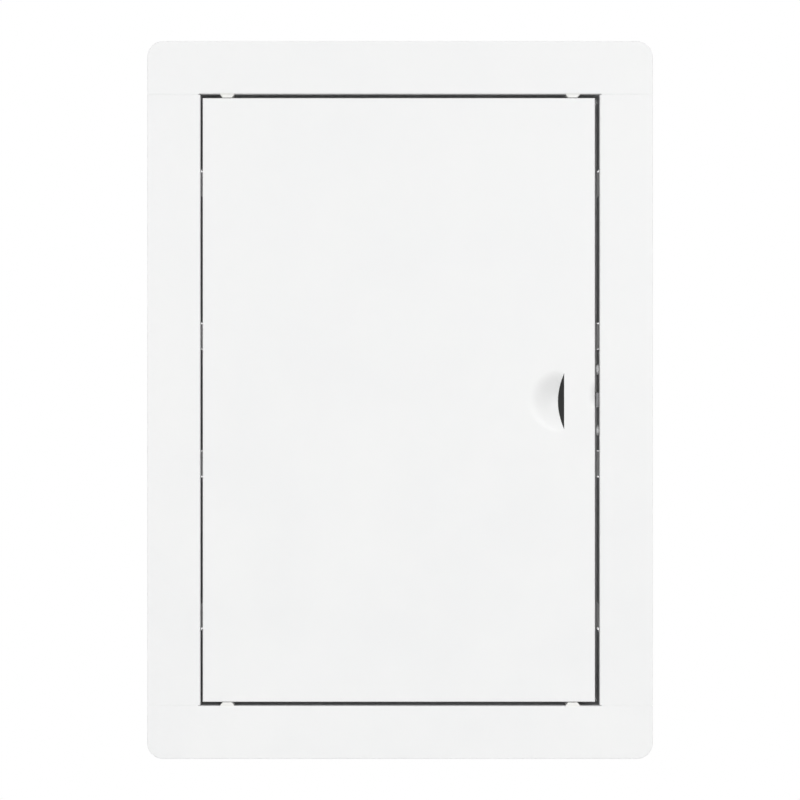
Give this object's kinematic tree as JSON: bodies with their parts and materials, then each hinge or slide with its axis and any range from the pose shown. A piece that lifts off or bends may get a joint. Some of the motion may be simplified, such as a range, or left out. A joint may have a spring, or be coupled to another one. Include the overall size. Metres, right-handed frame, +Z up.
{
  "type": "access door",
  "caption": "Flush sheet-steel access door for a wall or ceiling opening, hinged at the left, with a finger scoop and a spring catch.",
  "frame": {"origin": "centre of the opening, in the plane of the finished wall that the back of the flange lies on", "axes": "+Z up the long side, +X to the latch side, +Y into the wall; the door faces -Y"},
  "size_m": [0.238, 0.0286, 0.338],
  "materials": {
    "white_powder_coat": "satin white powder coating",
    "white_nylon": "moulded, matte",
    "zinc_plated_steel": "bright zinc plating",
    "spring_steel": "drawn, lightly oiled",
    "phosphated_steel": "dark phosphate, oiled"
  },
  "bodies": {
    "frame": {"frame_top_rail": "white_powder_coat", "frame_bottom_rail": "white_powder_coat", "frame_hinge_stile": "white_powder_coat", "frame_latch_stile": "white_powder_coat", "corner_cleat_top_left": "zinc_plated_steel", "corner_cleat_top_right": "zinc_plated_steel", "corner_cleat_bottom_left": "zinc_plated_steel", "corner_cleat_bottom_right": "zinc_plated_steel", "hinge_pin_top": "zinc_plated_steel", "hinge_pin_bottom": "zinc_plated_steel", "hinge_bush_top": "white_nylon", "hinge_bush_bottom": "white_nylon", "hinge_clip_top": "spring_steel", "hinge_clip_bottom": "spring_steel", "stop_stud_top": "white_nylon", "stop_stud_bottom": "white_nylon", "catch_strap": "zinc_plated_steel", "catch_spring": "spring_steel", "catch_rivet_upper": "white_powder_coat", "catch_rivet_lower": "white_powder_coat"},
    "door": {"door_panel": "white_powder_coat"},
    "catch": {"catch_nose": "phosphated_steel"}
  },
  "joints": [
    {"name": "door_hinge", "type": "hinge", "parent": "frame", "child": "door", "pos_m": [-0.0814, 0.0034, 0], "axis": [0, 0, -1], "range_deg": [0, 120]},
    {"name": "catch_slide", "type": "slide", "parent": "frame", "child": "catch", "axis": [1, 0, 0], "range_m": [0, 0.0013], "stiffness_N_per_m": 1200, "springref_m": -0.002, "deforming": ["catch_spring"]}
  ]
}
